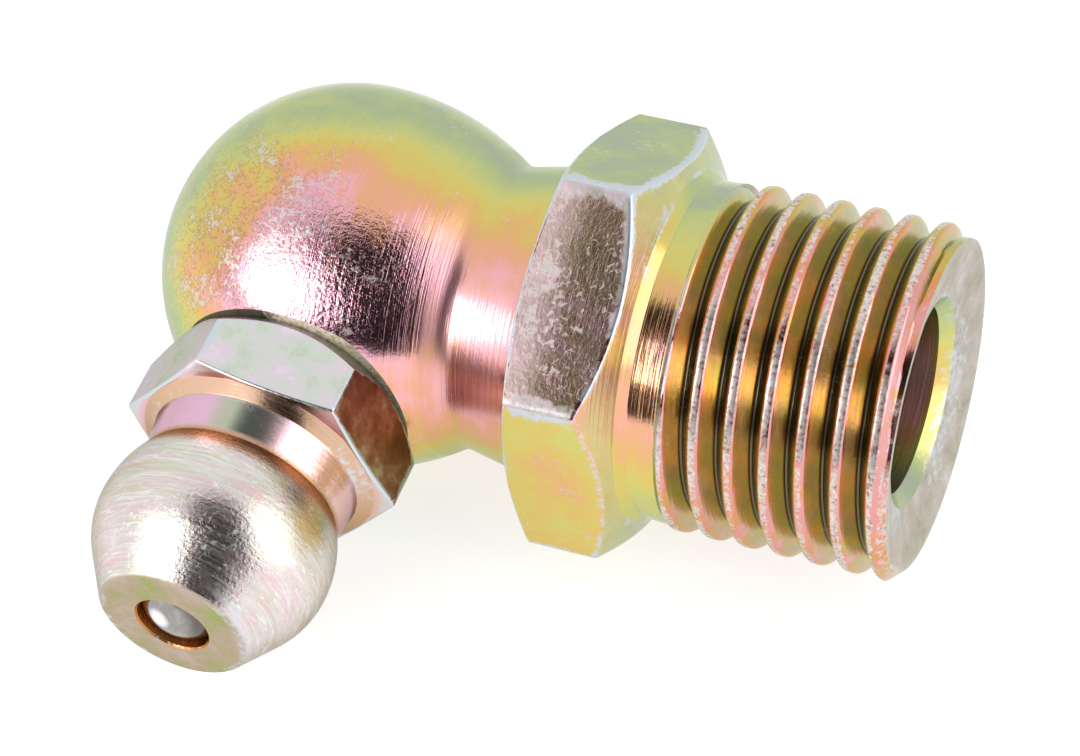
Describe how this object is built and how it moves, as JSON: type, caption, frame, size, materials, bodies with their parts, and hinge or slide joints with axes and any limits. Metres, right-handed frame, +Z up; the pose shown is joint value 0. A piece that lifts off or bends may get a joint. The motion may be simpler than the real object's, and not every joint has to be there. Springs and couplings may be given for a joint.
{
  "type": "grease nipple",
  "caption": "Angled grease nipple: plated steel elbow with a threaded shank, ball, spanner hexes, a grooved knob and a spring-loaded check ball.",
  "frame": {"origin": "start of the threaded shank, on its axis", "axes": "+X along the threaded shank towards its open end, +Z up as it lies on its hex and knob, the knob towards -Y and a little down"},
  "size_m": [0.0231, 0.019, 0.0122],
  "materials": {
    "plated_elbow": "yellow zinc plating with an iridescent film, worn at the edges",
    "plated_head": "paler yellow zinc plating with fine turning lines",
    "ball_steel": "ground steel",
    "spring_wire": "drawn steel wire"
  },
  "bodies": {
    "fitting": {"elbow_body": "plated_elbow", "nipple_head": "plated_head", "check_spring": "spring_wire"},
    "valve_ball": {"check_ball": "ball_steel"}
  },
  "joints": [
    {"name": "ball_lift", "type": "slide", "parent": "fitting", "child": "valve_ball", "axis": [0, 0.9628, 0.2703], "range_m": [0, 0.001], "stiffness_N_per_m": 1500, "springref_m": -0.0003, "deforming": ["check_spring"]}
  ]
}
